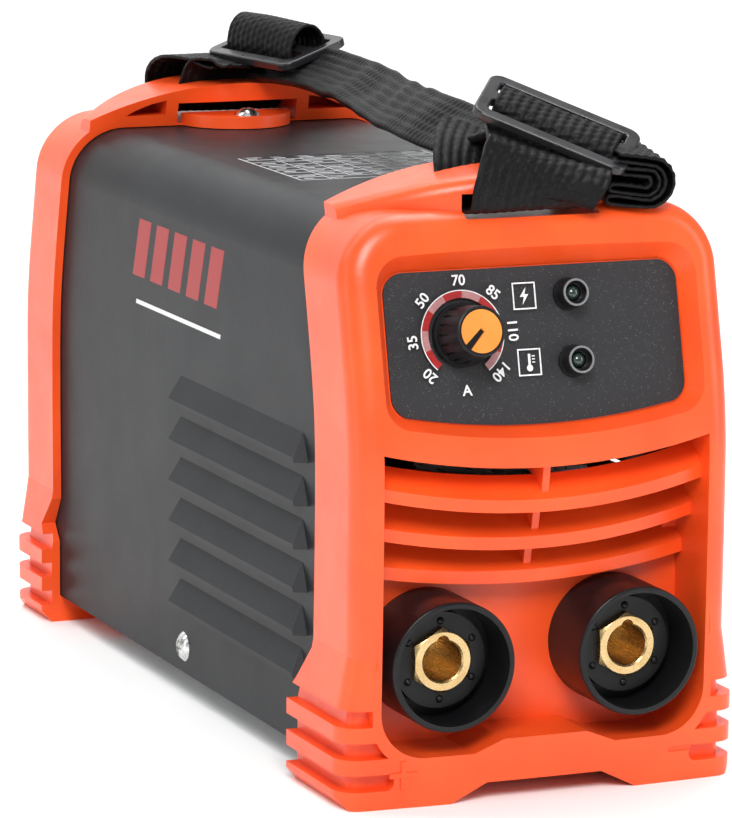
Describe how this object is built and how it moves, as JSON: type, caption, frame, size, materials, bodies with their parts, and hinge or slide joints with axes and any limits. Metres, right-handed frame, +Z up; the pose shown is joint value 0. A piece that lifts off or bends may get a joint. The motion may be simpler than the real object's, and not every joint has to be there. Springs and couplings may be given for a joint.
{
  "type": "stick welding inverter",
  "caption": "Portable stick welding inverter with orange plastic end bezels, a louvred dark sheet cover, a current dial, two output sockets and a black carrying strap.",
  "frame": {"origin": "on the ground, under the middle of the machine", "axes": "+Z up, front panel and output sockets face -Y, +X to the right seen from the front"},
  "size_m": [0.1354, 0.3265, 0.2193],
  "materials": {
    "orange_plastic": "satin",
    "cover_paint": "satin",
    "zinc_steel": "satin",
    "screw_steel": "polished",
    "panel_film": "matte",
    "black_plastic": "satin",
    "cap_plastic": "gloss",
    "shaft_metal": "satin",
    "pot_case": "satin",
    "rim_chrome": "polished",
    "lamp_lens": "gloss",
    "brass": "machined",
    "copper": "satin",
    "webbing": "woven",
    "buckle_plastic": "satin",
    "label_print": "satin",
    "rocker_red": "gloss",
    "board_green": "satin",
    "standoff_brass": "machined",
    "can_sleeve": "satin",
    "ferrite": "matte",
    "winding_tape": "satin",
    "choke_core": "satin",
    "relay_case": "satin",
    "bridge_epoxy": "matte",
    "film_case": "satin"
  },
  "bodies": {
    "root": {"front_bezel": "orange_plastic", "rear_bezel": "orange_plastic", "cover": "cover_paint", "base_plate": "zinc_steel", "cover_screws": "screw_steel", "tab_screw": "screw_steel", "bezel_screws": "screw_steel", "fan_screws": "screw_steel", "board_screws": "screw_steel", "potentiometer_nut": "screw_steel", "control_panel": "panel_film", "lamp_holders": "black_plastic", "negative_socket": "black_plastic", "positive_socket": "black_plastic", "switch_body": "black_plastic", "fan_frame": "black_plastic", "power_devices": "black_plastic", "cable_gland": "black_plastic", "gland_nut": "black_plastic", "left_heat_sink": "shaft_metal", "right_heat_sink": "shaft_metal", "potentiometer": "pot_case", "lamp_rims": "rim_chrome", "lamps": "lamp_lens", "negative_contact": "brass", "positive_contact": "brass", "socket_nuts": "brass", "negative_busbar": "copper", "positive_busbar": "copper", "front_strap_loop": "webbing", "rear_strap_loop": "webbing", "carrying_strap": "webbing", "front_buckle": "buckle_plastic", "rear_buckle": "buckle_plastic", "rating_label": "label_print", "main_board": "board_green", "control_board": "board_green", "board_standoffs": "standoff_brass", "bus_capacitors": "can_sleeve", "transformer_core": "ferrite", "line_choke": "ferrite", "transformer_winding": "winding_tape", "output_choke": "choke_core", "relay": "relay_case", "input_bridge": "bridge_epoxy", "film_capacitors": "film_case"},
    "knob": {"current_knob": "black_plastic", "knob_cap": "cap_plastic", "control_shaft": "shaft_metal"},
    "rocker": {"switch_rocker": "rocker_red"},
    "fan": {"fan_rotor": "black_plastic"}
  },
  "joints": [
    {"name": "dial_turn", "type": "hinge", "parent": "root", "child": "knob", "pos_m": [-0.025, -0.14536, 0.14446], "axis": [0, 0.9724, -0.2334], "range_deg": [0, 270]},
    {"name": "switch_rock", "type": "hinge", "parent": "root", "child": "rocker", "pos_m": [-0.027, 0.1435, 0.14], "axis": [-1, 0, 0], "range_deg": [0, 20]},
    {"name": "fan_spin", "type": "hinge", "parent": "root", "child": "fan", "pos_m": [0, 0.1345, 0.072], "axis": [0, 1, 0], "continuous": true}
  ]
}
